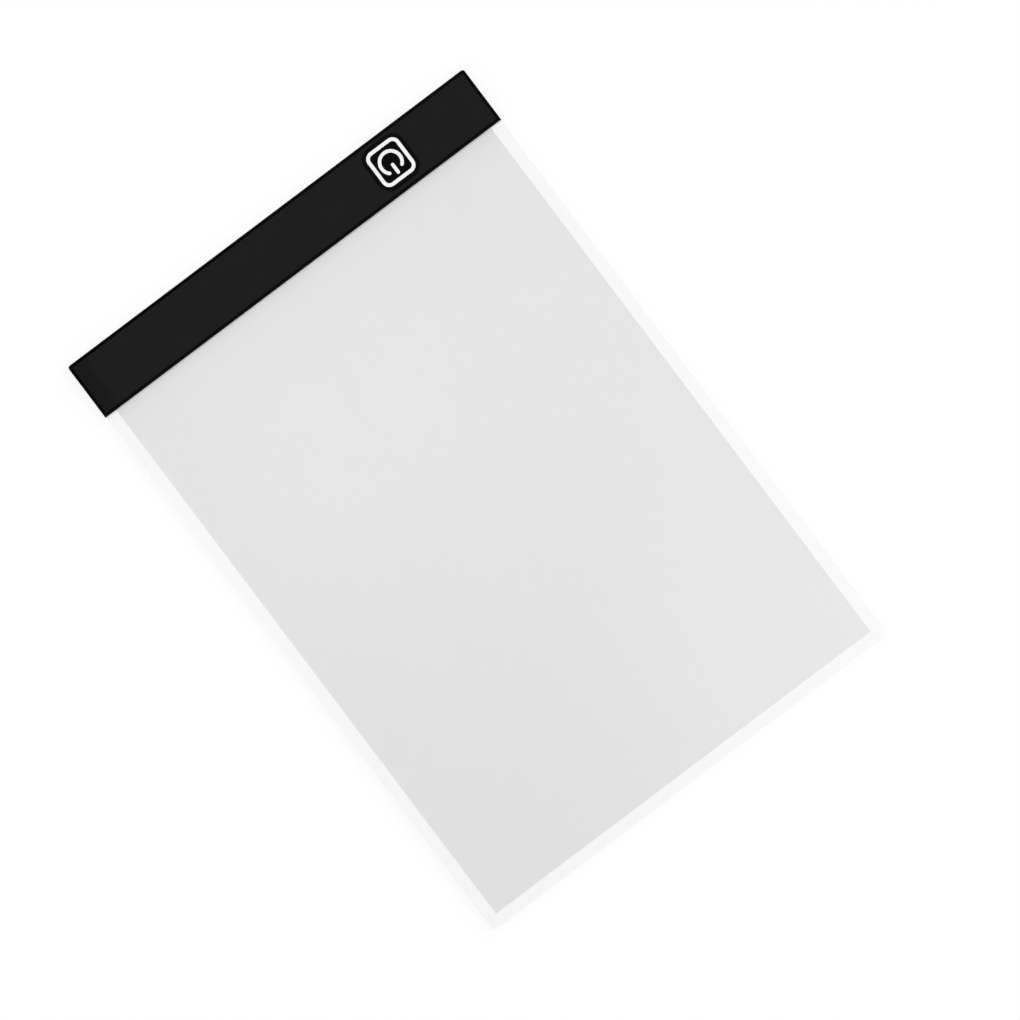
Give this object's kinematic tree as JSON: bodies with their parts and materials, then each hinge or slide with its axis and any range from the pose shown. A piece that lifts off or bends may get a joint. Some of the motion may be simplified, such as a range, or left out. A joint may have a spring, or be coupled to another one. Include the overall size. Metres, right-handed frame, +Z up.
{
  "type": "tracing light pad",
  "caption": "Thin flat tracing light pad: an edge-lit pale panel with a white border, held at one end in a black bar with a push power key and a power socket in its end.",
  "frame": {"origin": "on the table, under the middle of the pad's outline", "axes": "+X along the bar towards its socket end, +Y along the pad from its far edge towards the bar, +Z up out of the drawing face"},
  "size_m": [0.235, 0.335, 0.0062],
  "materials": {
    "back_plate": "fine matte white sheet",
    "tape": "white adhesive tape",
    "reflector": "white reflector film",
    "light_guide": "polished clear acrylic",
    "diffuser": "frosted film",
    "front_panel": "clear sheet with a soft sheen",
    "seal": "black adhesive tape",
    "black_shell": "fine textured black",
    "black_key": "fine textured black",
    "board": "green solder mask",
    "chip": "moulded black",
    "passive": "ceramic brown",
    "switch_metal": "pressed sheet metal",
    "plunger": "moulded black",
    "led_board": "white solder mask",
    "led": "cream package with a yellow pocket",
    "lead_red": "red insulation",
    "lead_black": "black insulation",
    "socket_metal": "plated folded metal",
    "socket_black": "moulded black",
    "contact": "gold plated",
    "screw": "zinc plated",
    "foot": "soft matte rubber"
  },
  "bodies": {
    "pad": {"back_plate": "back_plate", "rear_border_tape": "tape", "reflector_film": "reflector", "light_guide": "light_guide", "diffuser_film": "diffuser", "front_border_tape": "tape", "front_panel": "front_panel", "light_seal": "seal", "bar_rear_cover": "black_shell", "bar_front_cover": "black_shell", "control_board": "board", "driver_chip": "chip", "board_passives": "passive", "switch_body": "switch_metal", "led_board": "led_board", "led_packages": "led", "led_lead_red": "lead_red", "led_lead_black": "lead_black", "socket_shell": "socket_metal", "socket_tongue": "socket_black", "socket_contacts": "contact", "cover_screws": "screw", "rubber_feet": "foot"},
    "key": {"power_key": "black_key", "switch_plunger": "plunger"}
  },
  "joints": [
    {"name": "power_key_press", "type": "slide", "parent": "pad", "child": "key", "axis": [0, 0, -1], "range_m": [0, 0.0005], "stiffness_N_per_m": 2000, "springref_m": -0.0002}
  ]
}
